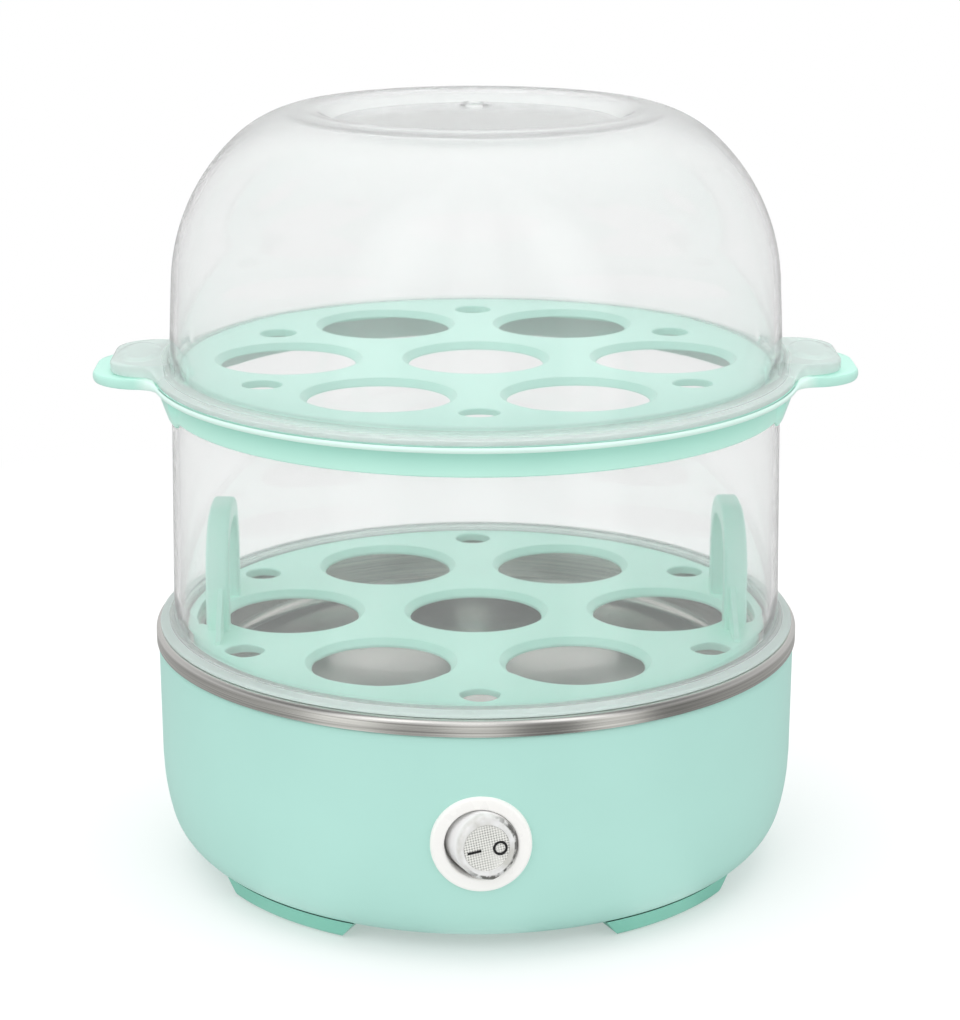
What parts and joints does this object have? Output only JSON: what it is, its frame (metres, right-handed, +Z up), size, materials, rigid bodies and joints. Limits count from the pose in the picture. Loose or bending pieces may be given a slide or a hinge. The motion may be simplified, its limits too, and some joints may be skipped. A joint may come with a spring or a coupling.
{
  "type": "two-tier electric egg cooker",
  "caption": "Round two-tier electric egg cooker: clear domed lid, stacked mint egg trays, clear middle cover, steel heating pan, mint base with a round rocker switch.",
  "frame": {"origin": "centre of the footprint on the surface that the feet stand on", "axes": "+Z up along the stack's axis, -Y towards the rocker switch, +X and -X towards the ears of the upper tray and lid"},
  "size_m": [0.1868, 0.1673, 0.188],
  "materials": {
    "body_mint": "satin moulded plastic, pale mint",
    "tray_mint": "smooth semi-gloss moulded plastic, light mint",
    "foot_green": "satin moulded plastic, darker mint",
    "steel": "brushed along the rim",
    "clear_plastic": "clear moulded plastic",
    "rubber": "soft grey rubber",
    "zinc": "zinc plated",
    "cast_alloy": "as cast",
    "ceramic": "unglazed ceramic",
    "white_plastic": "smooth white plastic",
    "gland_white": "satin white plastic",
    "lead_sleeve": "silicone sleeve",
    "rocker_clear": "frosted clear plastic with a textured face",
    "lamp_glass": "clear glass bulb"
  },
  "bodies": {
    "base": {"base_shell": "body_mint", "heating_pan": "steel", "bottom_cover": "foot_green", "foot_pad_1": "rubber", "foot_pad_2": "rubber", "foot_pad_3": "rubber", "foot_pad_4": "rubber", "cover_screws": "zinc", "heater_plate": "cast_alloy", "heating_tube": "steel", "element_terminals": "zinc", "thermostat": "ceramic", "thermostat_bracket": "zinc", "thermal_fuse": "ceramic", "fuse_clip": "zinc", "heater_screws": "zinc", "earth_tag": "zinc", "pan_nuts": "zinc", "terminal_block": "white_plastic", "switch_housing": "white_plastic", "switch_terminals": "zinc", "cord_gland": "gland_white", "lead_live": "lead_sleeve", "lead_switched": "lead_sleeve", "lead_element": "lead_sleeve", "lead_fuse": "lead_sleeve", "lead_neutral": "lead_sleeve", "lead_lamp": "lead_sleeve", "lead_earth": "lead_sleeve"},
    "rocker": {"switch_rocker": "rocker_clear", "indicator_lamp": "lamp_glass"},
    "lower_tray": {"lower_tray": "tray_mint"},
    "middle_cover": {"middle_cover": "clear_plastic"},
    "upper_tray": {"upper_tray": "tray_mint"},
    "lid": {"lid": "clear_plastic"}
  },
  "joints": [
    {"name": "rocker_tilt", "type": "hinge", "parent": "base", "child": "rocker", "pos_m": [0, -0.07505, 0.0309], "axis": [0.165, 0, -0.9863], "range_deg": [0, 24]},
    {"name": "lower_tray_lift", "type": "slide", "parent": "base", "child": "lower_tray", "axis": [0, 0, 1], "range_m": [0, 0.05]},
    {"name": "middle_cover_lift", "type": "slide", "parent": "lower_tray", "child": "middle_cover", "axis": [0, 0, 1], "range_m": [0, 0.06]},
    {"name": "upper_tray_lift", "type": "slide", "parent": "middle_cover", "child": "upper_tray", "axis": [0, 0, 1], "range_m": [0, 0.05]},
    {"name": "lid_lift", "type": "slide", "parent": "upper_tray", "child": "lid", "axis": [0, 0, 1], "range_m": [0, 0.08]}
  ]
}
